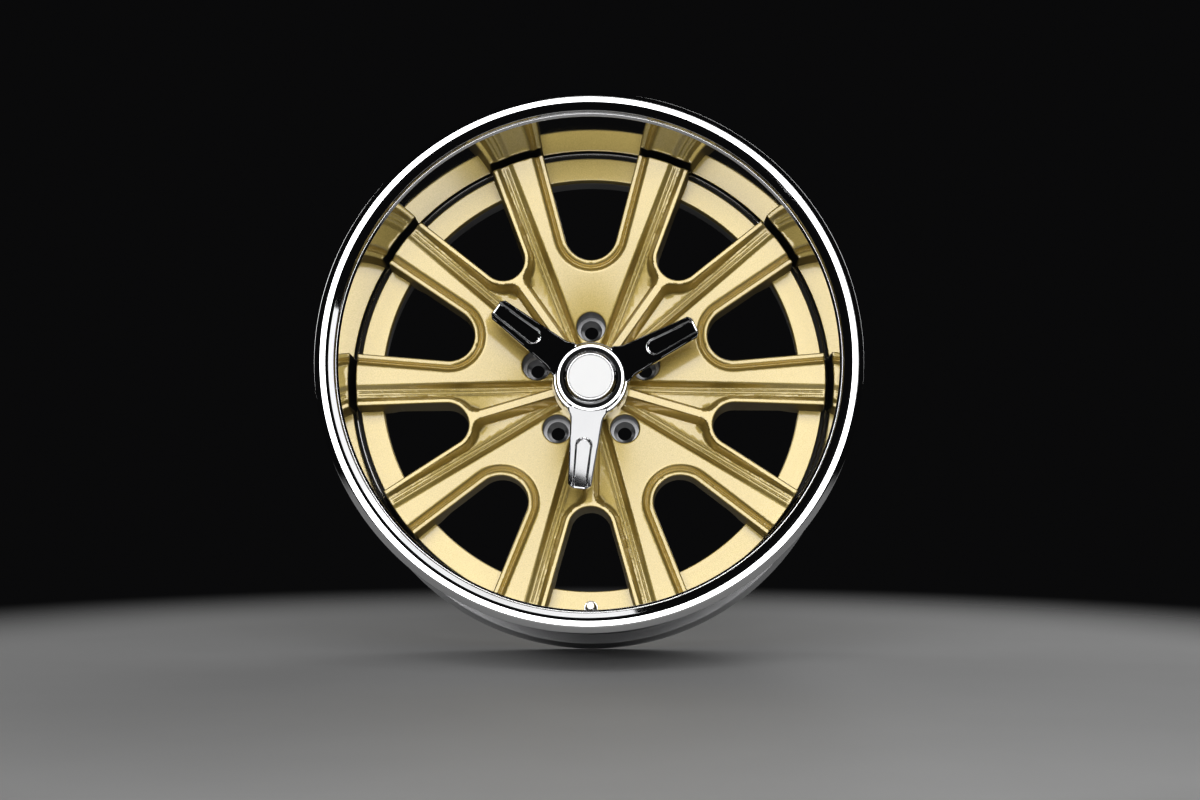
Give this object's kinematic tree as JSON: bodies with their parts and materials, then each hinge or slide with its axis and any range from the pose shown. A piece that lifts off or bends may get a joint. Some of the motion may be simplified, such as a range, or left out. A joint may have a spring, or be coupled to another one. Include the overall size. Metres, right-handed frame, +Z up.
{
  "type": "forged wheel",
  "caption": "Deep-dish forged car wheel: satin gold spoked centre in a mirror-polished rim barrel, with a chromed eared spinner cap and tyre valve.",
  "frame": {"origin": "centre of the hub mounting face", "axes": "wheel turns about Y; face looks to -Y, +Z is up with the valve at the bottom, +X is right seen from the face"},
  "size_m": [0.5439, 0.28, 0.544],
  "materials": {
    "satin_gold": "satin gold coat",
    "polished_aluminium": "mirror polished",
    "weld_aluminium": "as welded",
    "chrome": "mirror",
    "white_disc": "gloss",
    "black_rubber": "matte",
    "spring_steel": "plain",
    "brass": "plain"
  },
  "bodies": {
    "root": {"wheel_centre": "satin_gold", "rim_barrel": "polished_aluminium", "weld_bead": "weld_aluminium", "cap_body": "chrome", "cap_o_ring": "black_rubber", "cap_snap_ring": "spring_steel", "spinner": "chrome", "spinner_screws": "spring_steel", "emblem_bezel": "chrome", "emblem_disc": "white_disc", "valve_stem": "chrome", "valve_grommet": "black_rubber", "valve_washer": "spring_steel", "valve_nut": "chrome", "valve_core": "brass", "valve_cap": "chrome", "valve_cap_seal": "black_rubber"}
  },
  "joints": []
}
